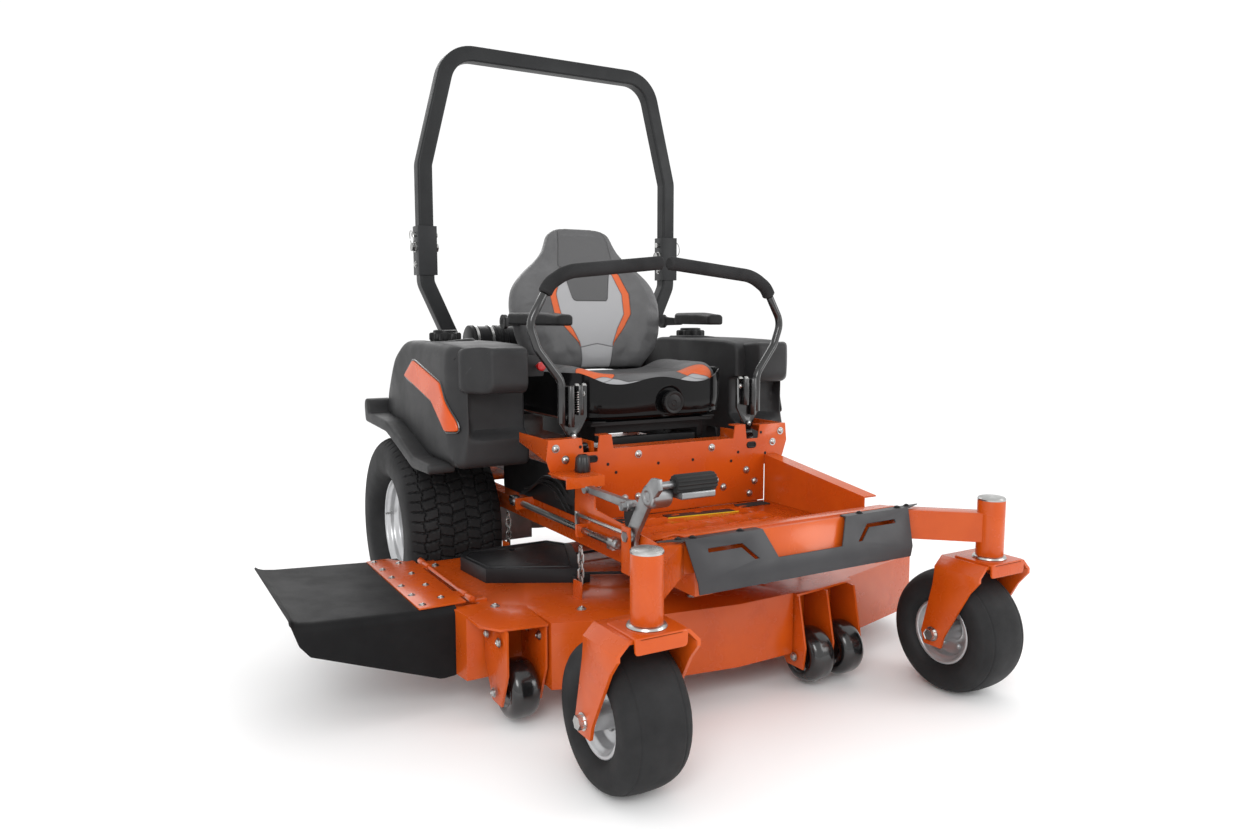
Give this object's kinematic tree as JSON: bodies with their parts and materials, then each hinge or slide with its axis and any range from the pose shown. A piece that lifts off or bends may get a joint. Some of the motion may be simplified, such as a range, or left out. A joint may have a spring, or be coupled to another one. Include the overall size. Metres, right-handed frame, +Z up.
{
  "type": "zero turn mower",
  "caption": "Ride-on zero turn mower with front caster wheels, side-discharge cutting deck, lap bars, sprung seat and folding roll bar.",
  "frame": {"origin": "bottom centre of the bounding box, on the ground", "axes": "+X to the operator's left, +Y to the rear, +Z up"},
  "size_m": [1.861, 2.106, 1.887],
  "materials": {
    "orange_paint": "gloss powder coat",
    "black_paint": "satin powder coat",
    "cover_paint": "textured satin powder coat",
    "dark_plastic": "moulded, fine texture",
    "insert_plastic": "gloss",
    "black_plastic": "moulded, satin",
    "red_plastic": "gloss",
    "chute_rubber": "flexible polymer, satin",
    "tyre_rubber": "matt",
    "scalp_rubber": "gloss",
    "grip_foam": "matt foam",
    "pedal_rubber": "ribbed",
    "belt_rubber": "matt",
    "rim_silver": "silver paint",
    "zinc": "zinc plated",
    "blade_steel": "ground edge, black oxide",
    "pedal_steel": "zinc plated",
    "engine_alloy": "cast",
    "drive_alloy": "cast, painted",
    "muffler_steel": "heat-proof black",
    "seat_vinyl": "vinyl over foam",
    "arm_vinyl": "moulded foam"
  },
  "bodies": {
    "chassis": {"main_frame": "orange_paint", "floor_pan": "orange_paint", "front_cover": "cover_paint", "console_panel": "orange_paint", "frame_bolts": "zinc", "fuel_tanks": "dark_plastic", "fenders": "dark_plastic", "tank_inserts": "insert_plastic", "side_consoles": "dark_plastic", "rops_posts": "black_paint", "engine_block": "engine_alloy", "engine_shroud": "black_plastic", "air_cleaner": "black_plastic", "muffler": "muffler_steel", "engine_guard": "black_paint", "transaxles": "drive_alloy"},
    "roll_bar": {"rops_hoop": "black_paint"},
    "deck": {"deck_shell": "orange_paint", "deck_brackets": "orange_paint", "belt_covers": "black_plastic", "deck_hardware": "zinc", "deck_belt": "belt_rubber"},
    "chute": {"chute_plate": "orange_paint", "discharge_chute": "chute_rubber"},
    "pedal": {"lift_pedal": "pedal_steel", "pedal_roller": "pedal_rubber"},
    "lift_rod": {"lift_shaft": "pedal_steel"},
    "seat_carriage": {"seat_base": "black_paint"},
    "seat": {"seat_pan": "black_plastic", "seat_cushion": "seat_vinyl", "seat_back": "seat_vinyl"},
    "seat_knob": {"suspension_knob": "black_plastic"},
    "height_dial": {"height_knob": "black_plastic"},
    "blade_switch": {"pto_knob": "red_plastic"},
    "caster_right": {"caster_fork_right": "orange_paint"},
    "caster_wheel_right": {"caster_tyre_right": "tyre_rubber", "caster_rim_right": "rim_silver"},
    "drive_wheel_right": {"rear_tyre_right": "tyre_rubber", "rear_rim_right": "rim_silver"},
    "control_right": {"control_arm_right": "black_paint"},
    "lap_bar_right": {"lap_bar_right": "black_paint", "lap_grip_right": "grip_foam"},
    "armrest_right": {"armrest_right": "arm_vinyl"},
    "fuel_cap_right": {"fuel_cap_right": "black_plastic"},
    "caster_left": {"caster_fork_left": "orange_paint"},
    "caster_wheel_left": {"caster_tyre_left": "tyre_rubber", "caster_rim_left": "rim_silver"},
    "drive_wheel_left": {"rear_tyre_left": "tyre_rubber", "rear_rim_left": "rim_silver"},
    "control_left": {"control_arm_left": "black_paint"},
    "lap_bar_left": {"lap_bar_left": "black_paint", "lap_grip_left": "grip_foam"},
    "armrest_left": {"armrest_left": "arm_vinyl"},
    "fuel_cap_left": {"fuel_cap_left": "black_plastic"},
    "blade_right": {"blade_right": "blade_steel"},
    "blade_centre": {"blade_centre": "blade_steel"},
    "blade_left": {"blade_left": "blade_steel"},
    "anti_scalp_wheel_right": {"anti_scalp_wheel_right": "scalp_rubber"},
    "anti_scalp_wheel_centre": {"anti_scalp_wheel_centre": "scalp_rubber"},
    "anti_scalp_wheel_left": {"anti_scalp_wheel_left": "scalp_rubber"}
  },
  "joints": [
    {"name": "caster_swivel_right", "type": "hinge", "parent": "chassis", "child": "caster_right", "pos_m": [-0.3545, -0.977, 0.45], "axis": [0, 0, 1], "continuous": true},
    {"name": "caster_roll_right", "type": "hinge", "parent": "caster_right", "child": "caster_wheel_right", "pos_m": [-0.3545, -0.888, 0.165], "axis": [1, 0, 0], "continuous": true},
    {"name": "drive_wheel_turn_right", "type": "hinge", "parent": "chassis", "child": "drive_wheel_right", "pos_m": [-0.342, 0.424, 0.305], "axis": [1, 0, 0], "continuous": true},
    {"name": "lap_bar_push_right", "type": "hinge", "parent": "chassis", "child": "control_right", "pos_m": [-0.1275, -0.235, 0.625], "axis": [1, 0, 0], "range_deg": [-10, 17], "stiffness_Nm_per_rad": 60},
    {"name": "lap_bar_swing_right", "type": "hinge", "parent": "control_right", "child": "lap_bar_right", "pos_m": [-0.1435, -0.235, 0.662], "axis": [0, -1, 0], "range_deg": [0, 35]},
    {"name": "armrest_fold_right", "type": "hinge", "parent": "seat", "child": "armrest_right", "pos_m": [-0.1395, 0.249, 0.976], "axis": [-1, 0, 0], "range_deg": [0, 95]},
    {"name": "fuel_cap_turn_right", "type": "hinge", "parent": "chassis", "child": "fuel_cap_right", "pos_m": [-0.3105, 0.325, 0.93], "axis": [0, 0, 1], "range_deg": [0, 180]},
    {"name": "caster_swivel_left", "type": "hinge", "parent": "chassis", "child": "caster_left", "pos_m": [0.6795, -0.977, 0.45], "axis": [0, 0, 1], "continuous": true},
    {"name": "caster_roll_left", "type": "hinge", "parent": "caster_left", "child": "caster_wheel_left", "pos_m": [0.6795, -0.888, 0.165], "axis": [1, 0, 0], "continuous": true},
    {"name": "drive_wheel_turn_left", "type": "hinge", "parent": "chassis", "child": "drive_wheel_left", "pos_m": [0.667, 0.424, 0.305], "axis": [1, 0, 0], "continuous": true},
    {"name": "lap_bar_push_left", "type": "hinge", "parent": "chassis", "child": "control_left", "pos_m": [0.4525, -0.235, 0.625], "axis": [1, 0, 0], "range_deg": [-10, 17], "stiffness_Nm_per_rad": 60},
    {"name": "lap_bar_swing_left", "type": "hinge", "parent": "control_left", "child": "lap_bar_left", "pos_m": [0.4685, -0.235, 0.662], "axis": [0, 1, 0], "range_deg": [0, 35]},
    {"name": "armrest_fold_left", "type": "hinge", "parent": "seat", "child": "armrest_left", "pos_m": [0.4645, 0.249, 0.976], "axis": [-1, 0, 0], "range_deg": [0, 95]},
    {"name": "fuel_cap_turn_left", "type": "hinge", "parent": "chassis", "child": "fuel_cap_left", "pos_m": [0.6355, 0.325, 0.93], "axis": [0, 0, 1], "range_deg": [0, 180]},
    {"name": "blade_spin_right", "type": "hinge", "parent": "deck", "child": "blade_right", "pos_m": [-0.2925, -0.149, 0.2], "axis": [0, 0, 1], "continuous": true},
    {"name": "blade_spin_centre", "type": "hinge", "parent": "deck", "child": "blade_centre", "pos_m": [0.1625, -0.365, 0.2], "axis": [0, 0, 1], "continuous": true},
    {"name": "blade_spin_left", "type": "hinge", "parent": "deck", "child": "blade_left", "pos_m": [0.6175, -0.149, 0.2], "axis": [0, 0, 1], "continuous": true},
    {"name": "anti_scalp_roll_right", "type": "hinge", "parent": "deck", "child": "anti_scalp_wheel_right", "pos_m": [-0.4295, -0.492, 0.088], "axis": [1, 0, 0], "continuous": true},
    {"name": "anti_scalp_roll_centre", "type": "hinge", "parent": "deck", "child": "anti_scalp_wheel_centre", "pos_m": [0.3465, -0.677, 0.088], "axis": [1, 0, 0], "continuous": true},
    {"name": "anti_scalp_roll_left", "type": "hinge", "parent": "deck", "child": "anti_scalp_wheel_left", "pos_m": [0.4525, -0.677, 0.088], "axis": [1, 0, 0], "continuous": true},
    {"name": "roll_bar_fold", "type": "hinge", "parent": "chassis", "child": "roll_bar", "pos_m": [0.1625, 0.503, 1.221], "axis": [-1, 0, 0], "range_deg": [0, 105]},
    {"name": "chute_lift", "type": "hinge", "parent": "deck", "child": "chute", "pos_m": [-0.4785, -0.107, 0.272], "axis": [0, 1, 0], "range_deg": [0, 65]},
    {"name": "deck_lift", "type": "slide", "parent": "chassis", "child": "deck", "axis": [0, 0, 1], "range_m": [0, 0.05]},
    {"name": "pedal_push", "type": "hinge", "parent": "chassis", "child": "pedal", "pos_m": [-0.1815, -0.632, 0.468], "axis": [1, 0, 0], "range_deg": [0, 25.5]},
    {"name": "lift_rod_travel", "type": "slide", "parent": "chassis", "child": "lift_rod", "axis": [0, 1, 0], "range_m": [0, 0.036]},
    {"name": "seat_suspension", "type": "slide", "parent": "chassis", "child": "seat_carriage", "axis": [0, 0, 1], "range_m": [-0.035, 0.03], "stiffness_N_per_m": 9000, "springref_m": 0.045},
    {"name": "seat_adjust", "type": "slide", "parent": "seat_carriage", "child": "seat", "axis": [0, 1, 0], "range_m": [-0.04, 0.06]},
    {"name": "seat_knob_turn", "type": "hinge", "parent": "seat", "child": "seat_knob", "pos_m": [0.1975, -0.217, 0.74], "axis": [0, 1, 0], "continuous": true},
    {"name": "height_dial_turn", "type": "hinge", "parent": "chassis", "child": "height_dial", "pos_m": [-0.1635, -0.337, 0.6], "axis": [0, 0, 1], "range_deg": [0, 270]},
    {"name": "blade_switch_pull", "type": "slide", "parent": "chassis", "child": "blade_switch", "axis": [0, -1, 0], "range_m": [0, 0.01]}
  ],
  "couplings": [
    {"joint": "blade_spin_right", "follows": "blade_spin_centre", "ratio": 1},
    {"joint": "blade_spin_left", "follows": "blade_spin_centre", "ratio": 1},
    {"joint": "pedal_push", "follows": "deck_lift", "rad_per_m": 8.7},
    {"joint": "lift_rod_travel", "follows": "deck_lift", "ratio": 0.7}
  ]
}
